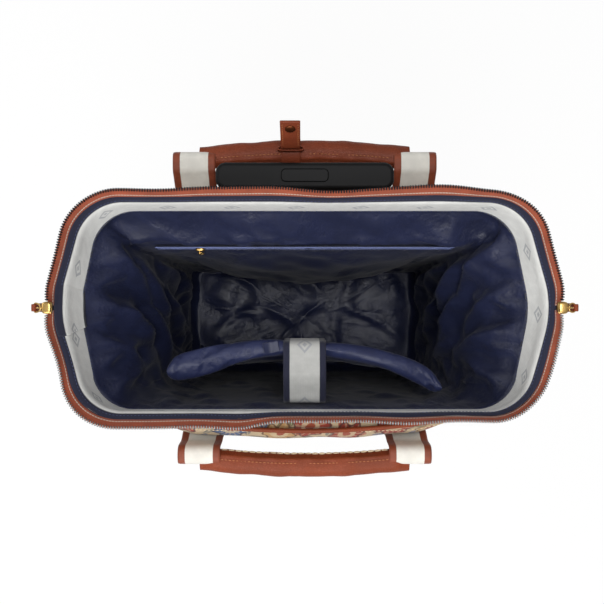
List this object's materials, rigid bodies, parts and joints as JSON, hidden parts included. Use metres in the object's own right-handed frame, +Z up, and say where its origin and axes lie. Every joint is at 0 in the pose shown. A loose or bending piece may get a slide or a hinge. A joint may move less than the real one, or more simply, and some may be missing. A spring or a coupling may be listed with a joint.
{
  "type": "rolling backpack",
  "caption": "Rolling backpack with a flared framed zip mouth, lined compartment with a padded sleeve, leather carry handles, telescoping trolley handle and corner wheels.",
  "frame": {"origin": "on the floor, below the middle of the bag", "axes": "+X to the bag's left-to-right side as seen in the picture, +Y to the rear where the trolley handle is, +Z up"},
  "size_m": [0.4752, 0.3258, 0.442],
  "materials": {
    "tapestry": "woven tapestry",
    "brown_leather": "smooth",
    "dark_leather": "smooth",
    "stiff_board": "plain",
    "navy_lining": "crumpled cloth",
    "gold_metal": "polished",
    "frame_steel": "satin",
    "striped_tape": "woven",
    "zip_cloth": "woven",
    "bright_teeth": "bright",
    "dark_teeth": "black",
    "ivory_webbing": "woven",
    "strap_pad": "padded",
    "black_plastic": "fine texture",
    "tube_metal": "satin anodised",
    "hub_plastic": "plain",
    "tyre_rubber": "smooth"
  },
  "bodies": {
    "bag": {"outer_shell": "tapestry", "base_cover": "brown_leather", "base_board": "stiff_board", "back_board": "stiff_board", "lining": "navy_lining", "front_pouch": "tapestry", "pouch_piping": "brown_leather", "badge_patch": "brown_leather", "badge_plate": "gold_metal", "front_mouth_frame": "frame_steel", "rear_mouth_frame": "frame_steel", "mouth_tape": "striped_tape", "front_zip_tape": "zip_cloth", "rear_zip_tape": "zip_cloth", "front_zip_chain": "bright_teeth", "rear_zip_chain": "dark_teeth", "zip_sliders": "gold_metal", "inner_pocket": "navy_lining", "inner_zip_tape": "navy_lining", "laptop_sleeve": "navy_lining", "sleeve_strap": "striped_tape", "front_handle_grip": "brown_leather", "front_handle_webbing": "ivory_webbing", "rear_handle_grip": "dark_leather", "rear_handle_webbing": "ivory_webbing", "wrap_strap": "dark_leather", "wrap_keeper": "dark_leather", "wrap_snap": "gold_metal", "left_shoulder_strap": "strap_pad", "right_shoulder_strap": "strap_pad", "strap_adjusters": "black_plastic", "strap_webbing": "strap_pad", "trolley_cover": "tapestry", "trolley_bezel": "black_plastic", "tube_foot": "black_plastic", "outer_tubes": "tube_metal", "wheel_housings": "black_plastic", "wheel_axles": "frame_steel", "front_feet": "black_plastic"},
    "middle_stage": {"middle_tubes": "tube_metal", "middle_plugs": "black_plastic", "middle_collars": "black_plastic"},
    "upper_stage": {"upper_tubes": "tube_metal", "lock_plugs": "black_plastic", "trolley_grip": "black_plastic", "grip_base": "black_plastic", "button_spring": "frame_steel"},
    "release": {"release_button": "black_plastic", "release_rods": "frame_steel"},
    "left_wheel": {"left_wheel_hub": "hub_plastic", "left_tyre": "tyre_rubber"},
    "right_wheel": {"right_wheel_hub": "hub_plastic", "right_tyre": "tyre_rubber"},
    "left_pull": {"left_zip_pull": "gold_metal", "left_pull_tab": "brown_leather"},
    "right_pull": {"right_zip_pull": "gold_metal", "right_pull_tab": "brown_leather"},
    "inner_slider": {"inner_zip_slider": "gold_metal"},
    "inner_pull": {"inner_zip_pull": "gold_metal"}
  },
  "joints": [
    {"name": "trolley_lower_slide", "type": "slide", "parent": "bag", "child": "middle_stage", "axis": [0, 0, 1], "range_m": [0, 0.27]},
    {"name": "trolley_upper_slide", "type": "slide", "parent": "middle_stage", "child": "upper_stage", "axis": [0, 0, 1], "range_m": [0, 0.27]},
    {"name": "release_button_press", "type": "slide", "parent": "upper_stage", "child": "release", "axis": [0, 0, -1], "range_m": [0, 0.004], "stiffness_N_per_m": 900, "springref_m": -0.002, "deforming": ["button_spring"]},
    {"name": "left_wheel_spin", "type": "hinge", "parent": "bag", "child": "left_wheel", "pos_m": [-0.128, 0.094, 0.03], "axis": [1, 0, 0], "continuous": true},
    {"name": "right_wheel_spin", "type": "hinge", "parent": "bag", "child": "right_wheel", "pos_m": [0.128, 0.094, 0.03], "axis": [1, 0, 0], "continuous": true},
    {"name": "left_zip_pull_swing", "type": "hinge", "parent": "bag", "child": "left_pull", "pos_m": [-0.22856, 0, 0.4385], "axis": [0, 1, 0], "range_deg": [0, 70]},
    {"name": "right_zip_pull_swing", "type": "hinge", "parent": "bag", "child": "right_pull", "pos_m": [0.22856, 0, 0.4385], "axis": [0, -1, 0], "range_deg": [0, 70]},
    {"name": "inner_zip_travel", "type": "slide", "parent": "bag", "child": "inner_slider", "axis": [1, 0, 0], "range_m": [-0.038, 0.246]},
    {"name": "inner_zip_pull_swing", "type": "hinge", "parent": "inner_slider", "child": "inner_pull", "pos_m": [-0.104, 0.05421, 0.345], "axis": [-1, 0, 0], "range_deg": [0, 90]}
  ]
}
